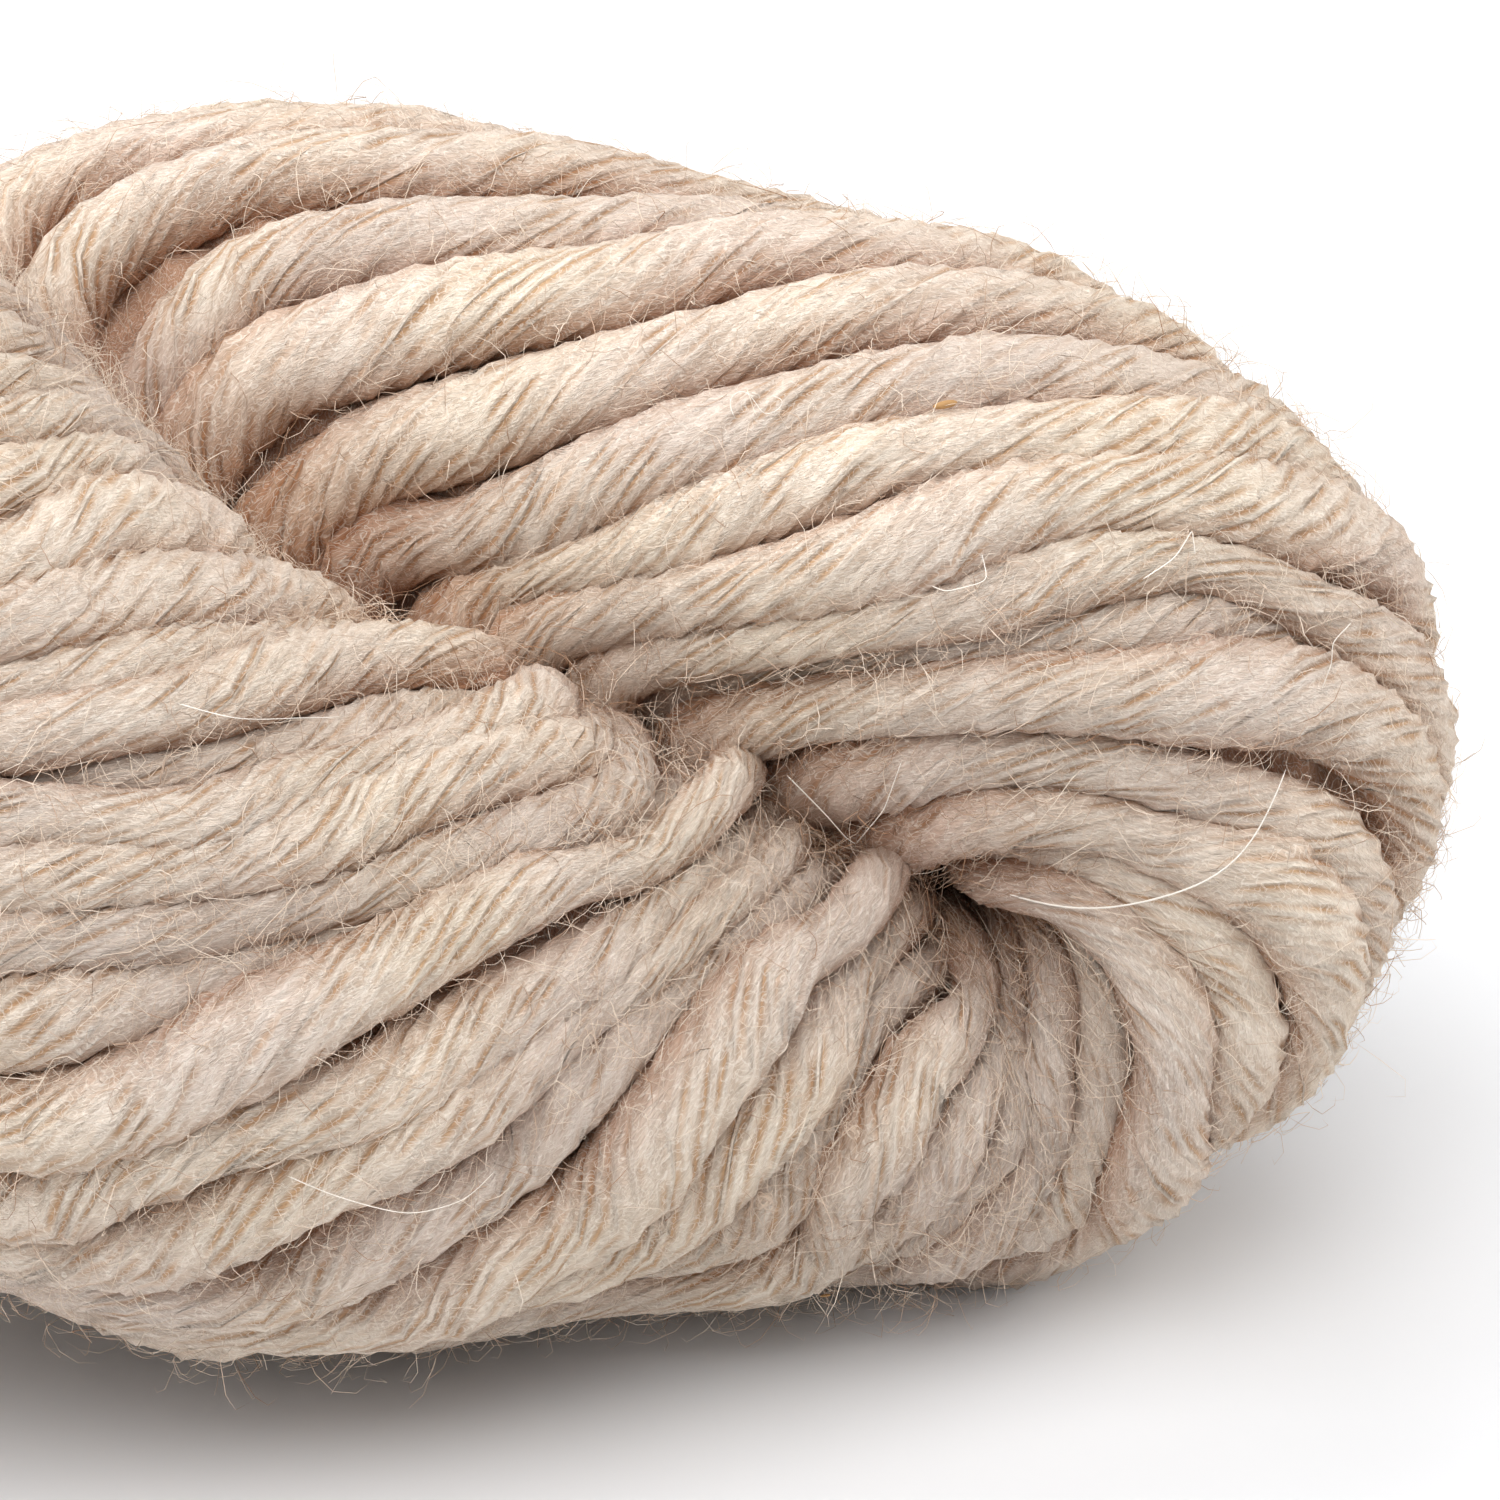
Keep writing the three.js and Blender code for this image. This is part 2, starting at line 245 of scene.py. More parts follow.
class Loop:
    """The closed loop of the bundle: its section at every millimetre of the way round."""

    def __init__(self):
        way = np.arange(LOOP)
        middle, out, thick, wide = self.rough(way)
        window = np.hanning(2 * GIVE + 3)[1:-1]
        window /= window.sum()

        def given(values):
            near = [np.roll(values, GIVE - k, axis=0) for k in range(2 * GIVE + 1)]
            return sum(value * weight for value, weight in zip(near, window))

        self.middle, out = given(middle), given(out)
        self.thick, self.wide = given(thick), given(wide)
        along = np.roll(self.middle, -1, axis=0) - np.roll(self.middle, 1, axis=0)
        step = np.linalg.norm(along, axis=1) / 2
        bend = np.roll(self.middle, -1, axis=0) + np.roll(self.middle, 1, axis=0) - 2 * self.middle
        self.bend = step**2 / np.linalg.norm(bend, axis=1)
        along = unit(along)
        self.out = unit(out - (out * along).sum(1, keepdims=True) * along)
        self.across = np.cross(along, self.out)
        hard = step * np.interp(way, TWIST["at"], TWIST["hard"])
        self.all_twist = TURN * PASSES / STRANDS
        self.twisted = (np.cumsum(hard) - hard) / hard.sum() * self.all_twist

    @staticmethod
    def rough(way):
        """The sections before the springy bundle evens out its changes."""
        leg = np.searchsorted([FOLD_ARC, HALF_LOOP, HALF_LOOP + FOLD_ARC], way, side="right")
        x = np.choose(leg, [0 * way, FOLD_ARC - way, 0 * way - EYE_SPAN, way - LOOP])
        fold = way % HALF_LOOP / FOLD_ARC * 180
        turned = np.choose(leg, [fold, 180 + 0 * way, 180 + fold, 360 + 0 * way])
        lean = np.radians(FOLD_LEAN + 360 * x / PLY_TURN)
        turn = np.radians(turned)
        out = np.stack([np.sin(turn), np.cos(turn) * np.cos(lean), np.cos(turn) * np.sin(lean)], 1)

        at_fanned = -x < EYE_SPAN / 2
        from_eye = np.where(at_fanned, -x, EYE_SPAN + x)
        folded = (turned - np.where(at_fanned, 0, 180)) % 360
        on = np.sin(lean) ** 2

        def tapered(key, at_fold):
            body = LYING_BESIDE[key] * (1 - on) + LYING_ON[key] * on
            return at_fold + (body - at_fold) * smooth(from_eye / TAPER[key])

        angles = FOLD_SECTIONS["angle"]
        thick = tapered("thick", np.interp(folded, angles, FOLD_SECTIONS["thick"])) / 2
        wide = tapered("wide", np.interp(folded, angles, FOLD_SECTIONS["wide"])) / 2
        height = tapered("spine", np.where(at_fanned, EYE_HEIGHT["fanned"], EYE_HEIGHT["plain"]))
        for swell in SWELLS:
            off = np.abs((way - swell["at"] + LOOP / 2) % LOOP - LOOP / 2)
            share = smooth(1 - off / swell["reach"])
            wide += swell["wide"] / 2 * share
            height += swell["lift"] * share
        middle = np.stack([x, 0 * x, height], 1) + out * (thick * PRESSED)[:, None]
        return middle, out, thick, wide

    def at(self, way, name):
        """One property of the sections at any ways, in between and past the loop's ends."""
        values = getattr(self, name)
        low = np.floor(way).astype(int)
        share = way - low
        low, high = low % LOOP, (low + 1) % LOOP
        if values.ndim > 1:
            share = share[:, None]
        return values[low] * (1 - share) + values[high] * share

    def way_of(self, twist):
        """The way at which the strands have turned so far, past the loop's ends too."""
        rounds = np.floor(twist / self.all_twist)
        inside = twist - rounds * self.all_twist
        twisted = np.append(self.twisted, self.all_twist)
        return np.interp(inside, twisted, np.arange(LOOP + 1)) + rounds * LOOP

    def point(self, way, angle, depth):
        """Places under the surface, by the angle round the section from outside, and the way out."""
        middle, out, across = (self.at(way, name) for name in ("middle", "out", "across"))
        thick, wide, bend = (self.at(way, name) for name in ("thick", "wide", "bend"))
        inner = np.minimum(thick * PRESSED, bend * INNER_HALF)
        outward = np.maximum((thick - depth) * np.cos(angle), depth - inner)
        sideways = (wide - depth) * np.sin(angle)
        place = middle + out * outward[:, None] + across * sideways[:, None]
        normal = out * (np.cos(angle) / thick)[:, None] + across * (np.sin(angle) / wide)[:, None]
        return place, unit(normal)


class Ripple:
    """Slow, seeded ups and downs along a strand, between about -1 and 1."""

    def __init__(self, rng, longest, shortest, waves=5):
        self.numbers = TURN / np.geomspace(longest, shortest, waves)
        self.starts = rng.uniform(0, TURN, waves)
        self.heights = rng.uniform(0.5, 1, waves) / waves**0.5

    def __call__(self, along):
        return (self.heights * np.sin(along[:, None] * self.numbers + self.starts)).sum(1)


def ahead_of_even(number, angle):
    """How far a pass lies ahead of an even twist, between and beyond the strands of the table."""
    turned = np.degrees(angle)
    rows = []
    for route in ROUTES:
        before = route["angle"][0] - BACK_TO_EVEN["before"]
        after = route["angle"][-1] + BACK_TO_EVEN["after"]
        rows.append(np.interp(turned, (before,) + route["angle"] + (after,), (0,) + route["ahead"] + (0,)))
    numbers = [route["number"] for route in ROUTES]
    beyond = max(numbers[0] - number, number - numbers[-1], 0)
    here = min(max(number, numbers[0]), numbers[-1])
    high = next(k for k, fitted in enumerate(numbers) if fitted >= here)
    low = high if numbers[high] == here else high - 1
    share = 0 if low == high else (here - numbers[low]) / (numbers[high] - numbers[low])
    ahead = rows[low] * (1 - share) + rows[high] * share
    return evened(ahead, ROUTES_EVENED) * max(1 - beyond / ROUTES_FADE, 0)


def settled_routes(loop, rng):
    """The way of every pass at each angle, as fitted and then evened out so that none lies apart."""
    angle = np.radians(np.linspace(PASS_END, -PASS_END, PASS_POINTS))
    before = np.arange(FIRST_PASS, CLOSE_PASSES[0])
    beyond = np.arange(EVEN_AGAIN, FIRST_PASS + PASSES)
    numbers = np.sort(np.concatenate([before, SUNK_PASSES, CLOSE_PASSES, beyond]))
    even = np.array([loop.way_of(TURN * number / STRANDS - angle) for number in numbers])
    slack = np.array([Ripple(rng, *SLOW_WAVES)(angle * A_RADIAN) for _ in numbers])
    in_photo = (numbers >= FITTED["numbers"][0]) & (numbers <= FITTED["numbers"][1])
    fitted = rising(np.degrees(angle), FITTED) * in_photo[:, None]
    strays = SLACK["even"] - (SLACK["even"] - SLACK["fitted"]) * fitted
    ways = even + strays * slack + [ahead_of_even(number, angle) for number in numbers]
    pitch = np.roll(even, -1, axis=0) - even
    pitch[-1] += LOOP
    widest = np.maximum(SPREAD["widest_share"] * pitch, SPREAD["widest"])
    narrowest = SPREAD["narrowest_share"] * pitch
    for _ in range(SPREAD["rounds"]):
        gap = np.roll(ways, -1, axis=0) - ways
        gap[-1] += LOOP
        pull = SPREAD["shift"] * (np.maximum(gap - widest, 0) - np.maximum(narrowest - gap, 0))
        ways = ways + pull - np.roll(pull, 1, axis=0)
    return angle, numbers, ways


class Pass:
    """One pass of a strand over the outside of the bundle, from the crease on one side to the other."""

    def __init__(self, loop, number, angle, way, rng):
        self.number = number
        self.near = NEAR_PASSES[0] <= number <= NEAR_PASSES[1]
        self.tone = rng.normal(0, 1)
        self.angle, self.way = angle, way
        heights, widths = [Ripple(rng, *SLOW_WAVES) for _ in range(2)]
        sunk = np.clip(rng.normal(0, UPS_AND_DOWNS), -SUNK_MOST, SUNK_MOST)
        build = BUILDS.get(number, {"proud": -sunk, "full": 1.0})
        turned = np.degrees(angle)
        proud = build["proud"] * rising(turned, BUILD_BEGINS)
        proud = proud + build.get("head", 0) * rising(turned, HEAD_BEGINS)
        self.depth = STRAND / 2 - proud + UPS_AND_DOWNS * heights(angle * A_RADIAN)
        self.full = build["full"] * (1 + FULLER * widths(angle * A_RADIAN))
        self.start = rng.uniform(0, TURN)
        self.ridges = [Ripple(rng, *RIDGE_WAVES) for _ in range(PLIES)]
        self.wander = [Ripple(rng, *WANDER_WAVES) for _ in range(PLIES)]
        self.centre, self.normal = loop.point(self.way, self.angle, self.depth)
        self.length_at = np.append(0, np.cumsum(np.linalg.norm(np.diff(self.centre, axis=0), axis=1)))
        self.start_at = np.interp(-build.get("ends", PASS_END), -turned, self.length_at)
        self.length = self.length_at[-1]

    def settle(self, before, after):
        """Frames along the pass, and its thickness in the room between the passes beside it."""
        self.tangent = unit(np.gradient(self.centre, axis=0))
        normal = self.normal - (self.normal * self.tangent).sum(1, keepdims=True) * self.tangent
        self.normal = unit(normal)
        self.side = np.cross(self.tangent, self.normal)
        room = [np.abs(((other.centre - self.centre) * self.side).sum(1)) for other in (before, after)]
        room = np.clip(room, *ROOM)
        room = evened((room[0] + room[1]) / 2, ROOM_EVENED)
        unseen = rising(-np.degrees(self.angle), UNSEEN) if self.near else 1.0
        share = HALF_WIDTH["share"] + HALF_WIDTH["share_more"] * unseen
        most = HALF_WIDTH["most"] + HALF_WIDTH["most_more"] * unseen
        self.half_side = np.clip(room * share, HALF_WIDTH["least"], most) * self.full
        self.half_up = np.clip(HALF_HEIGHT["share"] * self.half_side, HALF_HEIGHT["least"], STRAND / 2)

    def at(self, length, name):
        """One property at lengths along the pass."""
        values = getattr(self, name)
        if values.ndim == 1:
            return np.interp(length, self.length_at, values)
        return np.stack([np.interp(length, self.length_at, column) for column in values.T], -1)


def strand_blank(rings):
    """A straight strand before it is laid: a closed cylinder, cut into rings."""
    shape = bmesh.new()
    bmesh.ops.create_cone(
        shape, cap_ends=True, cap_tris=False, segments=SPOKES, radius1=1, radius2=1, depth=1
    )
    sides = [edge for edge in shape.edges if abs(edge.verts[0].co.z - edge.verts[1].co.z) > 0.5]
    bmesh.ops.subdivide_edges(shape, edges=sides, cuts=rings - 2, use_grid_fill=True)
    mesh = bpy.data.meshes.new("strand_blank")
    shape.to_mesh(mesh)
    shape.free()
    return mesh


def corners_of(mesh):
    """The places of a mesh's corners."""
    flat = np.empty(len(mesh.vertices) * 3, np.float32)
    mesh.vertices.foreach_get("co", flat)
    return flat.reshape(-1, 3).astype(float)


def laid(strand, blank):
    """Where the corners of a straight strand go on its pass, and their attributes for the wool.

    deep is painted shade, from 0 on a strand's top to 1 down between the strands, with more
    in a ply's groove and in the crease; ridge is 0 in the groove between two plies. A pattern that
    reads lay follows the plies, and one that reads grain runs straight along the strand.
    """
    spoke = np.round(np.arctan2(blank[:, 1], blank[:, 0]) / TURN * SPOKES).astype(int) % SPOKES
    length = strand.start_at + (blank[:, 2] + 0.5) * (strand.length - strand.start_at)
    turned = TURN * spoke / SPOKES
    waves = np.stack([ridge(length) for ridge in strand.ridges])
    wander = np.stack([wave(length) for wave in strand.wander])
    ply = spoke // POINTS_A_PLY
    between = spoke % POINTS_A_PLY == 0
    corner = np.arange(len(length))
    this, last = waves[ply, corner], waves[ply - 1, corner]
    # A groove is deepest where both its plies stand proud, and is gone where they have merged
    depth = PLY_GROOVE["mean"] + PLY_GROOVE["varies"] * np.minimum(this, last)
    groove = np.where(between, np.clip(depth, 0, PLY_GROOVE["most"]), 0)
    swell = 1 + PLY_SWELL * this - groove
    here, after = wander[ply, corner], wander[(ply + 1) % PLIES, corner]
    strayed = np.where(between, here, (here + after) / 2)
    angle = strand.start + turned - TURN * length / PLY_LAY + PLY_WANDER * strayed
    from_end = np.minimum(length - strand.start_at, strand.length - length)
    least = END_TAPER["least"]
    narrowed = least + (1 - least) * smooth(from_end / END_TAPER["length"])
    up = np.cos(angle) * swell * strand.at(length, "half_up") * narrowed
    side = np.sin(angle) * swell * strand.at(length, "half_side") * narrowed
    place = strand.at(length, "centre") + strand.at(length, "normal") * up[:, None]
    place = place + strand.at(length, "side") * side[:, None]
    # Painted shade: darkest on a strand's underside, more in a ply's groove and down in the crease
    crease = rising(np.abs(np.degrees(strand.at(length, "angle"))), CREASE)
    deep = 0.5 - 0.5 * np.cos(angle) + SHADED["groove"] * groove + SHADED["crease"] * crease
    deep = np.clip(deep, 0, 1)
    along = length + PATTERN_SHIFT["along"] * (strand.number % PATTERN_SHIFT["strands"])
    radius = STRAND / 2
    lay = np.stack([radius * np.cos(turned), radius * np.sin(turned), along], 1)
    grain = np.stack([radius * np.cos(angle), radius * np.sin(angle), along], 1)
    return place, deep, np.where(between, 0.0, 1.0), lay, grain


def finished(name, mesh, place_in, points, attributes):
    """A mesh object at the given places, smooth, with attributes on its corners."""
    mesh.name = name
    mesh.vertices.foreach_set("co", place_in(points).astype(np.float32).ravel())
    mesh.polygons.foreach_set("use_smooth", np.ones(len(mesh.polygons), bool))
    for key, values in attributes.items():
        kind = "FLOAT" if values.ndim == 1 else "FLOAT_VECTOR"
        attribute = mesh.attributes.new(key, kind, "POINT")
        field = "value" if values.ndim == 1 else "vector"
        attribute.data.foreach_set(field, values.astype(np.float32).ravel())
    mesh.update()
    piece = bpy.data.objects.new(name, mesh)
    bpy.context.collection.objects.link(piece)
    return piece


def strand_piece(name, passes, place):
    """Neighbouring passes of the strands as one mesh, each laid from a straight strand."""
    spacing = RING_SPACING["near" if passes[0].near else "far"]
    rings = int(max(strand.length for strand in passes) / spacing)
    blank = strand_blank(rings)
    straight = corners_of(blank)
    joined = bmesh.new()
    for _ in passes:
        joined.from_mesh(blank)
    mesh = bpy.data.meshes.new(name)
    joined.to_mesh(mesh)
    joined.free()
    bpy.data.meshes.remove(blank)
    corners, deep, ridge, lay, grain = (
        np.concatenate(values) for values in zip(*(laid(strand, straight) for strand in passes))
    )
    tone = np.repeat([strand.tone for strand in passes], len(straight))
    attributes = {"tone": tone, "deep": deep, "ridge": ridge, "lay": lay * MM, "grain": grain * MM}
    return finished(name, mesh, place, corners, attributes)


# The strands packed inside: rings along the loop and points round it, how deep the skin lies, and
# how far its ribs stand out and in
CORE = {"rings": 130, "rim": 30, "sunk": 4.1, "rib": 1.0}


def packed_core(loop, place):
    """The strands packed inside, as one ribbed body that shows in the gaps between outer strands.

    Its colour is painted shade all over.
    """
    shape = bmesh.new()
    bmesh.ops.create_grid(shape, x_segments=CORE["rings"], y_segments=CORE["rim"], size=1)
    mesh = bpy.data.meshes.new("packed_core")
    shape.to_mesh(mesh)
    grid = corners_of(mesh)
    way = np.round((grid[:, 0] + 1) / 2 * CORE["rings"]) / CORE["rings"] * LOOP
    angle = (grid[:, 1] + 1) / 2 * TURN
    twist = loop.at(way % LOOP, "twisted")
    rib = -np.cos((angle + twist) * STRANDS)
    corners, _ = loop.point(way % LOOP, angle, CORE["sunk"] + CORE["rib"] * rib)
    mesh.vertices.foreach_set("co", place(corners).astype(np.float32).ravel())
    shape.clear()
    shape.from_mesh(mesh)
    bmesh.ops.remove_doubles(shape, verts=shape.verts, dist=0.002 * MM)
    bmesh.ops.recalc_face_normals(shape, faces=shape.faces)
    shape.to_mesh(mesh)
    shape.free()
    points = corners_of(mesh)
    ones = np.ones(len(points))
    # Painted shade all over the core: full shade and a lower tone, so it reads dark in the gaps
    attributes = {"tone": -1 * ones, "deep": ones, "ridge": ones, "lay": points, "grain": points}
    return finished("packed_core", mesh, lambda p: p, points, attributes)


def spindle_faces(rings):
    """The faces of a three-sided tube with a point at each end, as corner numbers."""
    corner, last = np.arange(3), 3 * rings + 1
    after = (corner + 1) % 3
    first = 1 + 3 * np.arange(rings - 1)[:, None]
    sides = np.stack([first + corner, first + after, first + 3 + after, first + 3 + corner], -1)
    root = np.stack([0 * corner, 1 + after, 1 + corner], 1)
    tip = np.stack([0 * corner + last, last - 3 + corner, last - 3 + after], 1)
    return sides.reshape(-1, 4), np.concatenate([root, tip])


FIBRE_TIP = 0.6  # a fibre's thickness at its tip, as a share of that at its root


def fibre_piece(name, paths, half_thick, tone, rng, place):
    """Thin, three-sided, closed fibres along many paths, as one mesh from arrays."""
    count, rings = len(paths), paths.shape[1] - 2
    tangent = unit(np.gradient(paths, axis=1))
    side = unit(np.cross(tangent, rng.normal(0, 1, (count, 1, 3))))
    other = np.cross(tangent, side)
    radius = (half_thick[:, None] * np.linspace(1, FIBRE_TIP, rings))[..., None]
    inner = slice(1, -1)
    round_them = np.stack([
        paths[:, inner]
        + (side * math.cos(TURN * k / 3) + other * math.sin(TURN * k / 3))[:, inner] * radius
        for k in range(3)
    ], 2)
    corners = np.concatenate([paths[:, :1], round_them.reshape(count, -1, 3), paths[:, -1:]], 1)
    quads, tips = spindle_faces(rings)
    first = (np.arange(count) * corners.shape[1])[:, None, None]
    quads, tips = (quads + first).reshape(-1, 4), (tips + first).reshape(-1, 3)
    mesh = bpy.data.meshes.new(name)
    mesh.vertices.add(corners.size // 3)
    around = np.concatenate([quads.ravel(), tips.ravel()])
    sizes = np.concatenate([np.full(len(quads), 4), np.full(len(tips), 3)])
    mesh.loops.add(len(around))
    mesh.loops.foreach_set("vertex_index", around.astype(np.int32))
    mesh.polygons.add(len(sizes))
    mesh.polygons.foreach_set("loop_start", (np.cumsum(sizes) - sizes).astype(np.int32))
    mesh.update(calc_edges=True)
    tone = np.repeat(tone, corners.shape[1])
    return finished(name, mesh, place, corners.reshape(-1, 3), {"tone": tone})


# Loose fibres by kind: their number, how many roots are tried for each, how long they are at least
# and at most, how far they stand off the yarn, how tightly they curl, in how many steps, how far round
# the strand from its top they start, half their thickness at least and at most, and how far up the
# yarn faces there, from -1 to 1. Lengths are in millimetres, and lean is in radians.
IN_AIR = (-0.55, 1)
FIBRES = {
    "short": {"number": 8800, "tries": 2, "length": (1.2, 4), "stand": 0.35, "curl": 0.7, "steps": 3,
              "lean": 1.0, "half_thick": (0.018, 0.037), "facing": IN_AIR},
    "curly": {"number": 15200, "tries": 2, "length": (2.5, 6.5), "stand": 0.45, "curl": 0.85, "steps": 5,
              "lean": 1.1, "half_thick": (0.018, 0.038), "facing": IN_AIR},
    "halo": {"number": 3600, "tries": 2, "length": (2, 6), "stand": 1.2, "curl": 0.6, "steps": 4,
             "lean": 0.2, "half_thick": (0.018, 0.034), "facing": IN_AIR},
    # The hem of fibres lies round the hank near the floor
    "hem": {"number": 2800, "tries": 8, "length": (2, 7), "stand": 0.9, "curl": 0.9, "steps": 4,
            "lean": 0.2, "half_thick": (0.014, 0.028), "facing": (-0.97, -0.45)},
}
NEAR_SHARE = 0.86  # of the fibres, round the fanned fold
FUZZIER = {"from": 4, "to": 22, "times": 1.6}  # numbers of the strands with more fibres
ROOTS_END = 140  # degrees from outside past which no fibre starts
TRIANGLES_A_PIECE = 190000  # a piece of fibres is split before it has more
ROOT_KEYS = ("way", "angle", "depth", "half_up", "half_side", "tangent", "side")
# A root's share of the strand's half width, how deep it lies and how far from the strand's ends
ROOT = {"out": 0.95, "sunk": 0.25, "from_end": 2}
LEAN_SPREAD = 0.4  # radians
LENGTH_SHARES = (0.7, 1)  # of the length drawn for a fibre, least and most
HEADING_SPREAD = 0.95  # radians that fibres start off from the strand's own way
WAG = 0.3  # radians of chance turn at each step
ARCH = 2.2  # a fibre stands off as the sine up to this angle, so its tip comes down a little
# Fibres that stay down in the groove between two strands: how many, how far, and the least lean
STAY_DOWN = {"share": 0.6, "most": 0.8, "lean": 0.6}
CREASE_SHADE_FIBRES = {"from": 95, "over": 40, "darker": 1.5}  # painted shade for fibres down in the crease, in degrees from outside


def fibre_roots(loop, passes, kind, rng):
    """Where loose fibres start along the strands, as rows of the strands' properties there."""
    near = np.array([strand.near for strand in passes])
    fuzzy = np.array([
        FUZZIER["times"] if FUZZIER["from"] <= strand.number <= FUZZIER["to"] else 1.0
        for strand in passes
    ])
    share = np.where(near, NEAR_SHARE * fuzzy / fuzzy[near].sum(), (1 - NEAR_SHARE) / (~near).sum())
    chosen = rng.choice(len(passes), kind["number"] * kind["tries"], p=share)
    roots = []
    for index, strand in enumerate(passes):
        length = rng.uniform(ROOT["from_end"], strand.length - ROOT["from_end"], (chosen == index).sum())
        roots.append(np.column_stack([strand.at(length, key) for key in ROOT_KEYS]))
    roots = np.concatenate(roots)
    _, outward = loop.point(roots[:, 0], roots[:, 1], 0.0)
    lowest, highest = kind["facing"]
    facing = (outward[:, 2] > lowest) & (outward[:, 2] < highest)
    in_air = np.flatnonzero(facing & (np.abs(roots[:, 1]) < math.radians(ROOTS_END)))
    return roots[rng.permutation(in_air)[: kind["number"]]]


STEP_ANGLE = 0.02  # radians over which the way across the bundle is measured
LEAST_AREA = 1e-3  # keeps the steps finite where the bundle's skin folds


def surface_steps(loop, way, angle, depth):
    """A function that gives a millimetre's step over the bundle as steps of way and angle."""
    by_way = loop.point(way + 0.5, angle, depth)[0] - loop.point(way - 0.5, angle, depth)[0]
    beyond, short = (loop.point(way, angle + sign * STEP_ANGLE, depth)[0] for sign in (1, -1))
    by_angle = (beyond - short) / (2 * STEP_ANGLE)
    pairs = ((by_way, by_way), (by_way, by_angle), (by_angle, by_angle))
    ways, mixed, angles = ((one * other).sum(1) for one, other in pairs)
    area = np.maximum(ways * angles - mixed**2, LEAST_AREA)

    def steps_of(vector):
        on_way, on_angle = (vector * by_way).sum(1), (vector * by_angle).sum(1)
        return (on_way * angles - on_angle * mixed) / area, (on_angle * ways - on_way * mixed) / area

    return steps_of


def fibre_paths(loop, passes, kind, rng):
    """Paths of loose fibres: out of a strand's side, and over the strands beside it in curls."""
    roots = fibre_roots(loop, passes, kind, rng)
    count = len(roots)
    way, angle, depth, half_up, half_side = roots[:, :5].T
    tangent, side = roots[:, 5:8], roots[:, 8:11]
    steps_of = surface_steps(loop, way, angle, depth)
    along_way, along_angle = steps_of(tangent)
    side_way, side_angle = steps_of(side)

    lean = rng.choice([-1, 1], count) * rng.normal(kind["lean"], LEAN_SPREAD, count)
    length = rng.uniform(*kind["length"], count) * rng.uniform(*LENGTH_SHARES, count)
    heading = rng.normal(0, HEADING_SPREAD, count) + np.where(rng.random(count) < 0.5, 0, math.pi)
    bend = rng.normal(0, 1, count) * kind["curl"]
    stand = rng.gamma(2, kind["stand"] / 2, count)
    forward, sideways = np.zeros(count), np.sin(lean) * half_side * ROOT["out"]
    root_height = -(depth - half_up) - half_up * (1 - np.cos(lean)) - ROOT["sunk"]
    sunk = rng.uniform(0, STAY_DOWN["most"], count) * (rng.random(count) < STAY_DOWN["share"])
    sunk = sunk * (np.abs(lean) > STAY_DOWN["lean"])
    steps = kind["steps"]
    path = []
    for k in range(steps + 1):
        t = k / steps
        height = root_height * ((1 - t) ** 2 * (1 - sunk) + sunk) + stand * math.sin(ARCH * t)
        here = way + along_way * forward + side_way * sideways
        turned = angle + along_angle * forward + side_angle * sideways
        path.append(loop.point(here, turned, -height)[0])
        forward = forward + np.cos(heading) * length / steps
        sideways = sideways + np.sin(heading) * length / steps
        heading = heading + bend * length / steps + rng.normal(0, WAG, count)
    # Painted shade: fibres rooted down in the crease get a lower tone, so they are darker
    in_crease = rising(np.abs(np.degrees(angle)), CREASE_SHADE_FIBRES)
    return np.stack(path, 1), rng.normal(0, 1, count) - CREASE_SHADE_FIBRES["darker"] * in_crease


# Single hairs that stand out: half their thickness, where each runs, by the way round the loop and the
# angle from outside, and how far it stands off the strands
GUARD_HAIRS = (
    {"half_thick": 0.085, "way": (14.5, 20.5, 20.5, 19.5, 19, 18, 16.5, 15.5),
     "angle": (132, 121, 108, 95, 86, 78, 71, 65), "stand": (0.3, 0.9, 1.1, 1.1, 1, 0.8, 0.6, 0.2)},
    {"half_thick": 0.06, "way": (-2, 0, 1, 1.5), "angle": (119, 124, 128, 131),
     "stand": (0.5, 1, 1, 0.5)},
    {"half_thick": 0.05, "way": (1.5, 2.5, 2.5), "angle": (131, 118, 108), "stand": (0.5, 1.2, 0.6)},
    {"half_thick": 0.045, "way": (13, 13, 13.5, 14), "angle": (41, 46, 48, 52),
     "stand": (1.4, 1, 0.8, 0.3)},
    {"half_thick": 0.05, "way": (7, 7.5, 7.5, 7.5, 8), "angle": (62, 56, 52, 50, 53),
     "stand": (0.2, 0.6, 0.9, 0.8, 0.3)},
    {"half_thick": 0.05, "way": (1.5, 2, 3, 2.5), "angle": (78, 78, 74, 70),
     "stand": (0.3, 0.8, 0.8, 0.3)},
    {"half_thick": 0.035, "way": (-6, -6.5, -6, -5.5, -5, -4.5, -4.5, -5),
     "angle": (64, 62, 59, 60, 62, 60, 58, 58), "stand": (0.3, 0.7, 0.8, 0.5, 0.5, 0.8, 0.7, 0.4)},
    {"half_thick": 0.05, "way": (93.5, 91.5, 88.5, 86.5, 85.5), "angle": (6, 8, 11, 17, 23),
     "stand": (0.2, 0.8, 0.9, 0.9, 0.3)},
    {"half_thick": 0.045, "way": (105, 102.5, 100, 97.5), "angle": (44, 50, 59, 68),
     "stand": (0.2, 1, 1, 0.3)},
)
HAIR_STEPS = 28  # between a hair's points
HAIR_ROUNDS = 6  # of smoothing its bends
# Neps, which are small tangles of fibre
NEPS = (
    {"way": 66.5, "angle": 62},
    {"way": 69.5, "angle": 40},
    {"way": 99.5, "angle": 48},
    {"way": 7.5, "angle": 51},
)
NEP = {"fibres": 5, "size": (0.3, 0.6), "turns": (6, 14), "half_thick": 0.04, "sunk": 0.1, "tighter": 0.35}
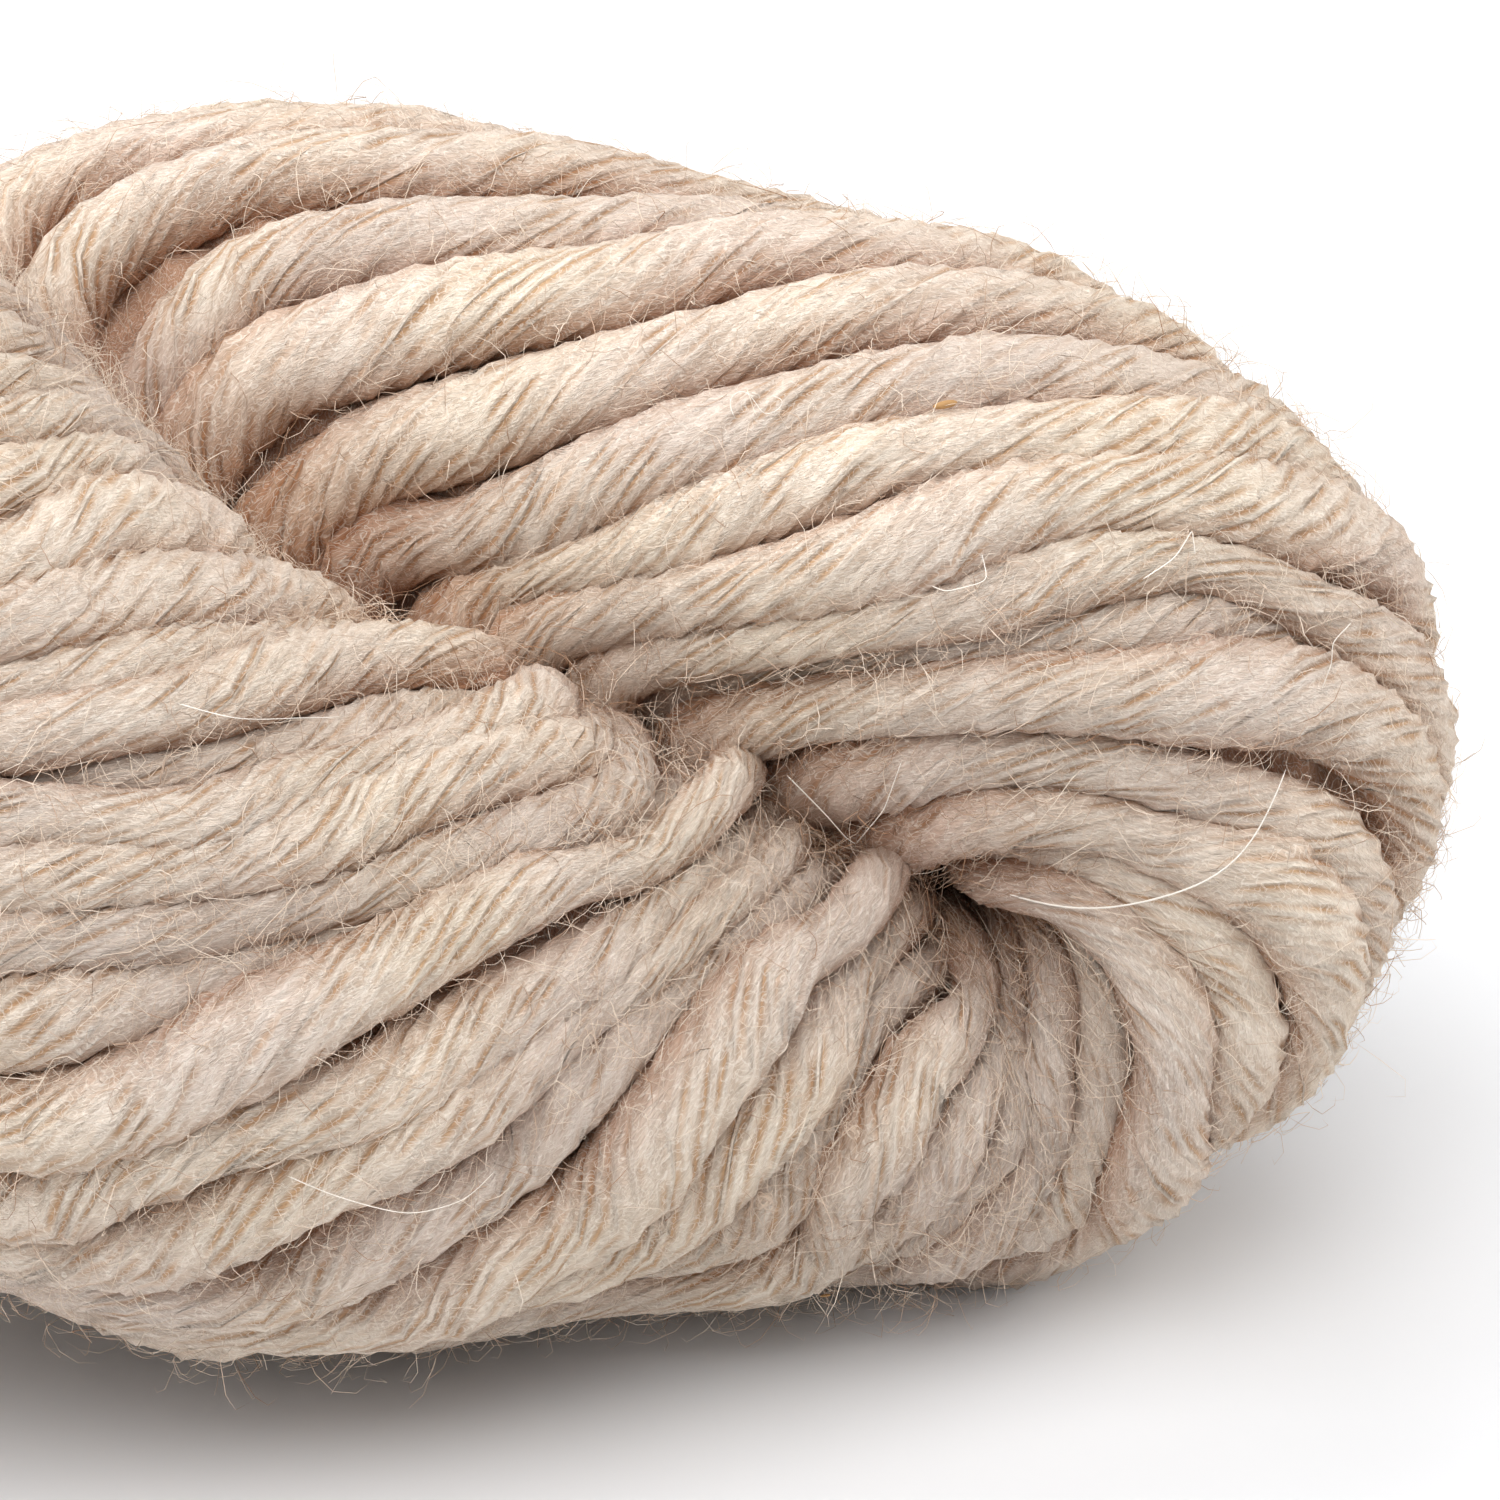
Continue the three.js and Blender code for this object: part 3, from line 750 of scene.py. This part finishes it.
# Bits of straw and seed left in the wool
BITS = (
    {"way": 28.5, "angle": 83, "long": 1.0, "wide": 0.28, "look": "straw"},
    {"way": 0, "angle": 48, "long": 1.6, "wide": 0.5, "look": "straw"},
    {"way": 31, "angle": 86, "long": 0.3, "wide": 0.28, "look": "seed"},
    {"way": 60, "angle": 20, "long": 0.7, "wide": 0.2, "look": "straw"},
    {"way": -60, "angle": 30, "long": 0.9, "wide": 0.22, "look": "straw"},
)
BIT_SUNK = 0.2  # how deep the middle of a bit lies
STRAND_SLANT = 0.08  # radians that a strand turns back in a millimetre along the bundle


def hair_paths(loop, rng):
    """Paths of the guard hairs, then of the curled-up fibres of each nep."""
    paths, half_thick = [], []
    steps = np.linspace(0, 1, HAIR_STEPS + 1)
    for hair in GUARD_HAIRS:
        at = np.linspace(0, 1, len(hair["way"]))
        way, angle, stand = (np.interp(steps, at, hair[key]) for key in ("way", "angle", "stand"))
        path = loop.point(way, np.radians(angle), -stand)[0]
        for _ in range(HAIR_ROUNDS):
            path[1:-1] = path[:-2] / 4 + path[1:-1] / 2 + path[2:] / 4
        paths.append(path)
        half_thick.append(hair["half_thick"])
    for nep in NEPS:
        middle, _ = loop.point(np.array([nep["way"]]), np.radians([nep["angle"]]), NEP["sunk"])
        for _ in range(NEP["fibres"]):
            turns = rng.uniform(*NEP["turns"], 3) * steps[:, None] + rng.uniform(0, TURN, 3)
            size = rng.uniform(*NEP["size"], 3) * (1 - NEP["tighter"] * steps[:, None])
            paths.append(middle + size * np.sin(turns))
            half_thick.append(NEP["half_thick"])
    return np.array(paths), np.array(half_thick)


def bit_piece(name, bit, loop, place):
    """A bit of straw or a seed, lying in the wool along its strand."""
    shape = bmesh.new()
    bmesh.ops.create_icosphere(shape, subdivisions=2, radius=1)
    mesh = bpy.data.meshes.new(name)
    shape.to_mesh(mesh)
    shape.free()
    way, angle = np.array([bit["way"]]), np.radians([bit["angle"]])
    middle, out = loop.point(way, angle, BIT_SUNK)
    along = unit(loop.point(way + 1, angle - STRAND_SLANT, BIT_SUNK)[0] - middle)
    across = np.cross(out, along)
    ball = corners_of(mesh) * (bit["long"] / 2, bit["wide"] / 2, bit["wide"] / 2)
    points = middle + ball[:, :1] * along + ball[:, 1:2] * across + ball[:, 2:] * out
    return finished(name, mesh, place, points, {})


class Look:
    """A material and its nodes."""

    def __init__(self, name):
        self.material = bpy.data.materials.new(name)
        self.material.use_nodes = True
        self.nodes = self.material.node_tree.nodes
        self.links = self.material.node_tree.links
        self.shader = self.nodes["Principled BSDF"]

    def add(self, kind, settings=None, **inputs):
        """Adds a node with its settings. Inputs are values, or outputs of other nodes."""
        node = self.nodes.new(kind)
        for key, value in (settings or {}).items():
            setattr(node, key, value)
        self.feed(node, **inputs)
        return node

    def feed(self, node, **inputs):
        """Sets or links a node's inputs, by name with _ for a space, or by number as i0, i1 and on."""
        for key, value in inputs.items():
            numbered = key[0] == "i" and key[1:].isdigit()
            socket = node.inputs[int(key[1:]) if numbered else key.replace("_", " ")]
            if isinstance(value, bpy.types.NodeSocket):
                self.links.new(value, socket)
            else:
                socket.default_value = value


def a_millimetre(across, along):
    """A pattern's scale by its waves a millimetre, round a strand and along it."""
    return (across / MM, across / MM, along / MM)


def undyed_wool():
    """Undyed wool, carded and spun, matt and soft. Painted shade: paler on top, warm tan between plies."""
    look = Look("undyed_wool")
    tone = look.add("ShaderNodeAttribute", {"attribute_name": "tone"}).outputs["Fac"]
    ridge = look.add("ShaderNodeAttribute", {"attribute_name": "ridge"}).outputs["Fac"]
    deep = look.add("ShaderNodeAttribute", {"attribute_name": "deep"}).outputs["Fac"]
    lay = look.add("ShaderNodeAttribute", {"attribute_name": "lay"}).outputs["Vector"]
    grain = look.add("ShaderNodeAttribute", {"attribute_name": "grain"}).outputs["Vector"]

    # In plied yarn the fibres run along the strand and the plies across it. The fibres are streaks
    # 0.2 mm wide and 1.25 mm long, coarser than wool's own 0.03 mm so that they show, over locks of
    # fibre 0.7 mm wide and 3.3 mm long.
    along = look.add(
        "ShaderNodeVectorMath", {"operation": "MULTIPLY"}, i0=grain, i1=a_millimetre(5.2, 0.8)
    )
    streaks = look.add(
        "ShaderNodeTexNoise", Vector=along.outputs[0], Scale=1.0, Detail=2.0, Roughness=0.6,
        Distortion=2.0,
    )
    broad = look.add(
        "ShaderNodeVectorMath", {"operation": "MULTIPLY"}, i0=lay, i1=a_millimetre(1.4, 0.3)
    )
    locks = look.add("ShaderNodeTexNoise", Vector=broad.outputs[0], Scale=1.0, Detail=1.0)
    # Stray fibres lie across the plies as thin pale lines, each the level line of a slow noise
    stray = 0
    for tilt, size in (
        ((0.5, 0.2, 0.3), a_millimetre(1.3, 0.52)),
        ((-0.6, -0.3, 1.4), a_millimetre(0.9, 0.6)),
    ):
        crossed = look.add("ShaderNodeMapping", Vector=grain, Rotation=tilt, Scale=size)
        slow = look.add("ShaderNodeTexNoise", Vector=crossed.outputs[0], Scale=1.0, Detail=1.0)
        folded = look.add(
            "ShaderNodeMath", {"operation": "PINGPONG"}, i0=slow.outputs["Fac"], i1=0.06
        )
        line = look.add(
            "ShaderNodeMapRange", Value=folded.outputs[0], From_Min=0.011, From_Max=0.0
        )
        stray = look.add(
            "ShaderNodeMath", {"operation": "MAXIMUM"}, i0=line.outputs[0], i1=stray
        ).outputs[0]
    # Slow clouds over the whole hank, 13 mm across, so 0.075 waves a millimetre
    place = look.add("ShaderNodeTexCoord").outputs["Object"]
    clouds = look.add("ShaderNodeTexNoise", Vector=place, Scale=0.075 / MM, Detail=0.0)
    # Painted shade in the grooves where the plies part, in patches 1.9 mm wide and 3.8 mm long,
    # more in some clouds than in others
    patch = look.add(
        "ShaderNodeVectorMath", {"operation": "MULTIPLY"}, i0=lay, i1=a_millimetre(0.52, 0.26)
    )
    patches = look.add("ShaderNodeTexNoise", Vector=patch.outputs[0], Scale=1.0, Detail=1.0)
    uneven = look.add(
        "ShaderNodeMath", {"operation": "MULTIPLY_ADD"},
        i0=clouds.outputs["Fac"], i1=0.4, i2=patches.outputs["Fac"],
    )
    parted = look.add(
        "ShaderNodeMapRange", Value=uneven.outputs[0], From_Min=0.64, From_Max=0.82, To_Min=0.1
    )
    valley = look.add("ShaderNodeMapRange", Value=ridge, From_Min=0.6, From_Max=0.1)
    groove_and_shade = look.add(
        "ShaderNodeMath", {"operation": "MULTIPLY"}, i0=parted.outputs[0], i1=valley.outputs[0]
    )

    mixed = look.add(
        "ShaderNodeMix", Factor=0.45, i2=streaks.outputs["Fac"], i3=locks.outputs["Fac"]
    ).outputs[0]
    ramp = look.add("ShaderNodeValToRGB", Fac=mixed)
    ramp.color_ramp.elements[0].position, ramp.color_ramp.elements[1].position = 0.37, 0.63
    ramp.color_ramp.elements[0].color = linear("CCBBAE")
    ramp.color_ramp.elements[1].color = linear("ECE1D8")
    # Painted groove shade: a warm tan multiplied in where the plies part
    groove_shaded = look.add(
        "ShaderNodeMix", {"data_type": "RGBA", "blend_type": "MULTIPLY"},
        Factor=groove_and_shade.outputs[0], i6=ramp.outputs["Color"], i7=linear("DEC2A6"),
    )
    # Painted shade: darkens and warms the strands' sides, the ply grooves, the crease and the core
    sunk = look.add("ShaderNodeMapRange", Value=deep, From_Min=0.1, From_Max=0.7, To_Max=0.95)
    shaded_colour = look.add(
        "ShaderNodeMix", {"data_type": "RGBA", "blend_type": "MULTIPLY"},
        Factor=sunk.outputs[0], i6=groove_shaded.outputs[2], i7=linear("D9B19A"),
    )
    cloudy = look.add(
        "ShaderNodeMapRange", Value=clouds.outputs["Fac"], From_Min=0.3, From_Max=0.7,
        To_Min=0.96, To_Max=1.03,
    )
    level = look.add(
        "ShaderNodeMath", {"operation": "MULTIPLY_ADD"}, i0=tone, i1=0.03, i2=cloudy.outputs[0]
    )
    # Some strands are creamier and some pinker
    cream = look.add(
        "ShaderNodeMath", {"operation": "MULTIPLY_ADD"}, i0=tone, i1=0.075, i2=clouds.outputs["Fac"]
    )
    tint = look.add("ShaderNodeValToRGB", Fac=cream.outputs[0])
    tint.color_ramp.elements[0].position, tint.color_ramp.elements[1].position = 0.3, 0.75
    tint.color_ramp.elements[0].color = linear("FCF7F3")
    tint.color_ramp.elements[1].color = linear("FFFDF3")
    tinted = look.add(
        "ShaderNodeMix", {"data_type": "RGBA", "blend_type": "MULTIPLY"},
        Factor=1.0, i6=shaded_colour.outputs[2], i7=tint.outputs["Color"],
    )
    faint = look.add("ShaderNodeMath", {"operation": "MULTIPLY"}, i0=stray, i1=0.65)
    strayed = look.add(
        "ShaderNodeMix", {"data_type": "RGBA"},
        Factor=faint.outputs[0], i6=tinted.outputs[2], i7=linear("F7EDE1"),
    )
    colour = look.add("ShaderNodeHueSaturation", Color=strayed.outputs[2], Value=level.outputs[0])
    # The streaks and locks stand up to 0.3 mm high, and the plies part as deep
    height = look.add(
        "ShaderNodeMath", {"operation": "MULTIPLY_ADD"}, i0=groove_and_shade.outputs[0], i1=-0.9, i2=mixed
    )
    bump = look.add("ShaderNodeBump", Strength=1.0, Distance=0.3 * MM, Height=height.outputs[0])
    look.feed(
        look.shader, Base_Color=colour.outputs["Color"], Normal=bump.outputs["Normal"], Roughness=0.95,
        Specular_IOR_Level=0.15, Sheen_Weight=0.3, Sheen_Tint=linear("E6C9B0"), Sheen_Roughness=0.5,
    )
    return look.material


def wool_fibre():
    """Single wool fibres, cream to tan, a little glossier than the yarn. Painted shade darkens
    those down in the crease.
    """
    look = Look("wool_fibre")
    tone = look.add("ShaderNodeAttribute", {"attribute_name": "tone"}).outputs["Fac"]
    spread = look.add("ShaderNodeMapRange", Value=tone, From_Min=-2.5, From_Max=1.0)
    ramp = look.add("ShaderNodeValToRGB", Fac=spread.outputs[0])
    ramp.color_ramp.elements[0].color = linear("B48C6E")
    ramp.color_ramp.elements[1].color = linear("F4E4D2")
    look.feed(
        look.shader, Base_Color=ramp.outputs["Color"], Roughness=0.85, Specular_IOR_Level=0.15
    )
    return look.material


def plain(name, colour, roughness, specular=0.5):
    """A material of one colour, for what is too small or too plain to show a pattern."""
    look = Look(name)
    look.feed(
        look.shader, Base_Color=linear(colour), Roughness=roughness, Specular_IOR_Level=specular
    )
    return look.material


# The camera looks at the fanned end of the hank, as the photo does
CAMERA = {"elevation": 28, "away": 500, "frame": 97, "sensor": 36, "nearest": 50, "furthest": 20000}
AIM = (-12.3, 14.1, 26.5)  # the point in the middle of the frame, with the fanned fold's eye at x 0


def add_camera(place):
    """A long lens at the photo's angle."""
    camera = bpy.data.cameras.new("photo_view")
    camera.sensor_width = CAMERA["sensor"]
    camera.lens = CAMERA["sensor"] * CAMERA["away"] / CAMERA["frame"]
    camera.clip_start, camera.clip_end = CAMERA["nearest"] * MM, CAMERA["furthest"] * MM
    viewer = bpy.data.objects.new("photo_view", camera)
    bpy.context.collection.objects.link(viewer)
    aim = Vector(place(np.array([AIM]))[0])
    tilt = math.radians(CAMERA["elevation"])
    back = Vector((0, -math.cos(tilt), math.sin(tilt)))
    viewer.location = aim + back * CAMERA["away"] * MM
    viewer.rotation_euler = back.to_track_quat("Z", "Y").to_euler()
    bpy.context.scene.camera = viewer


FLOOR = 4  # metres from its middle to its edge


def add_floor():
    """A floor of matt paper, almost white, with hardly any gloss."""
    shape = bmesh.new()
    bmesh.ops.create_grid(shape, x_segments=1, y_segments=1, size=FLOOR)
    mesh = bpy.data.meshes.new("floor")
    shape.to_mesh(mesh)
    shape.free()
    floor = bpy.data.objects.new("floor", mesh)
    floor.data.materials.append(plain("pale_paper", "E7E8EA", 0.8, specular=0.2))
    bpy.context.collection.objects.link(floor)


# Soft lamps round the hank: where each stands, its size and its power, in metres and watts
LAMPS = (
    {"name": "soft_top", "at": (0.1, -0.35, 1.0), "size": 1.0, "power": 8.2},
    {"name": "soft_front", "at": (-0.1, -0.8, 0.85), "size": 1.0, "power": 5.4},
    {"name": "soft_back", "at": (-0.2, 0.7, 0.9), "size": 0.9, "power": 4.2},
    {"name": "soft_left", "at": (-1.0, 0.1, 0.6), "size": 0.8, "power": 14},
    {"name": "soft_right", "at": (1.0, 0.1, 0.6), "size": 0.8, "power": 6.5},
)
LIT = (0.05, 0, 0.02)  # the place that all lamps face
ROOM_LIGHT = 0.03


def add_lights():
    """A pale room with soft lamps above, in front, behind and at both sides."""
    world = bpy.data.worlds.new("pale_room")
    world.use_nodes = True
    world.node_tree.nodes["Background"].inputs["Color"].default_value = (1, 1, 1, 1)
    world.node_tree.nodes["Background"].inputs["Strength"].default_value = ROOM_LIGHT
    bpy.context.scene.world = world
    for lamp in LAMPS:
        light = bpy.data.lights.new(lamp["name"], "AREA")
        light.shape = "SQUARE"
        light.size = lamp["size"]
        light.energy = lamp["power"]
        stand = bpy.data.objects.new(lamp["name"], light)
        stand.location = lamp["at"]
        stand.rotation_euler = (Vector(lamp["at"]) - Vector(LIT)).to_track_quat("Z", "Y").to_euler()
        bpy.context.collection.objects.link(stand)
    bpy.context.scene.view_settings.view_transform = "Standard"


def placing(loop):
    """A function that brings places of the form into the frame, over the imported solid."""
    low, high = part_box("hank")
    # The form's own box comes from its skin, at every fourth degree and every other millimetre
    angles = np.radians(np.arange(0, 360, 4))
    ways = np.repeat(np.arange(0, LOOP, 2.0), len(angles))
    skin, _ = loop.point(ways, np.tile(angles, LOOP // 2), 0.0)
    shift = np.array([(low.x + high.x) / 2, (low.y + high.y) / 2, 0])
    centre = (skin.min(0) + skin.max(0)) / 2
    centre[2] = 0

    def place(points):
        """Places in the frame, in metres. What would be below the floor is pressed flat on it."""
        height = points[:, 2]
        pressed = PRESS * np.exp(np.minimum(height / PRESS - 1, 0))
        flat = np.where(height < PRESS, pressed, height)
        return (np.column_stack([points[:, :2], flat]) - centre) * MM + shift

    return place


def lay_strands(loop, passes, wool, place):
    """The core and the strands over it, in two pieces by the fanned fold and two for the rest."""
    pieces = [packed_core(loop, place)]
    near = [strand for strand in passes if strand.near]
    far = [strand for strand in passes if not strand.near]
    for name, group in (("fanned", near), ("body", far)):
        half = len(group) // 2
        for k, part in enumerate((group[:half], group[half:])):
            pieces.append(strand_piece(f"strands_{name}_{k + 1}", part, place))
    for piece in pieces:
        piece.data.materials.append(wool)
    return pieces


def lay_fibres(loop, passes, fibre, rng, place):
    """The loose fibres of each kind, in as many pieces as their triangles need."""
    pieces = []
    for name, kind in FIBRES.items():
        paths, tone = fibre_paths(loop, passes, kind, rng)
        half_thick = rng.uniform(*kind["half_thick"], len(paths))
        triangles = len(paths) * (kind["steps"] - 1) * 6
        parts = math.ceil(triangles / TRIANGLES_A_PIECE)
        for k in range(parts):
            part = slice(k, None, parts)
            pieces.append(fibre_piece(
                f"fibres_{name}_{k + 1}", paths[part], half_thick[part], tone[part], rng, place
            ))
    for piece in pieces:
        piece.data.materials.append(fibre)
    return pieces


def lay_hairs(loop, fibre, rng, place):
    """The guard hairs, which are coarse, white and a little shiny, and the neps."""
    paths, half_thick = hair_paths(loop, rng)
    count = len(GUARD_HAIRS)
    guard_hair = plain("guard_hair", "FBF3E8", 0.45)
    pieces = []
    for name, part, look in (
        ("guard_hairs", slice(0, count), guard_hair),
        ("neps", slice(count, None), fibre),
    ):
        piece = fibre_piece(name, paths[part], half_thick[part], 0 * half_thick[part], rng, place)
        piece.data.materials.append(look)
        pieces.append(piece)
    return pieces


def lay_bits(loop, place):
    """Bits of dry grass, which are golden tan, and a seed, which is almost black."""
    looks = {"straw": plain("straw", "B48A58", 0.7), "seed": plain("seed", "2E241C", 0.6)}
    pieces = []
    for k, bit in enumerate(BITS):
        piece = bit_piece(f"{bit['look']}_{k + 1}", bit, loop, place)
        piece.data.materials.append(looks[bit["look"]])
        pieces.append(piece)
    return pieces


def main():
    """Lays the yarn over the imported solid, which it replaces."""
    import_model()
    rng = np.random.default_rng(SEED)
    loop = Loop()
    place = placing(loop)
    add_camera(place)
    add_floor()
    add_lights()

    angle, numbers, ways = settled_routes(loop, rng)
    passes = [Pass(loop, number, angle, way, rng) for number, way in zip(numbers, ways)]
    for k, strand in enumerate(passes):
        strand.settle(passes[k - 1], passes[(k + 1) % len(passes)])
    fibre = wool_fibre()
    pieces = lay_strands(loop, passes, undyed_wool(), place)
    pieces += lay_fibres(loop, passes, fibre, rng, place)
    pieces += lay_hairs(loop, fibre, rng, place)
    pieces += lay_bits(loop, place)
    for piece in pieces:
        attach(piece, "root")
        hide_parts("hank")


main()
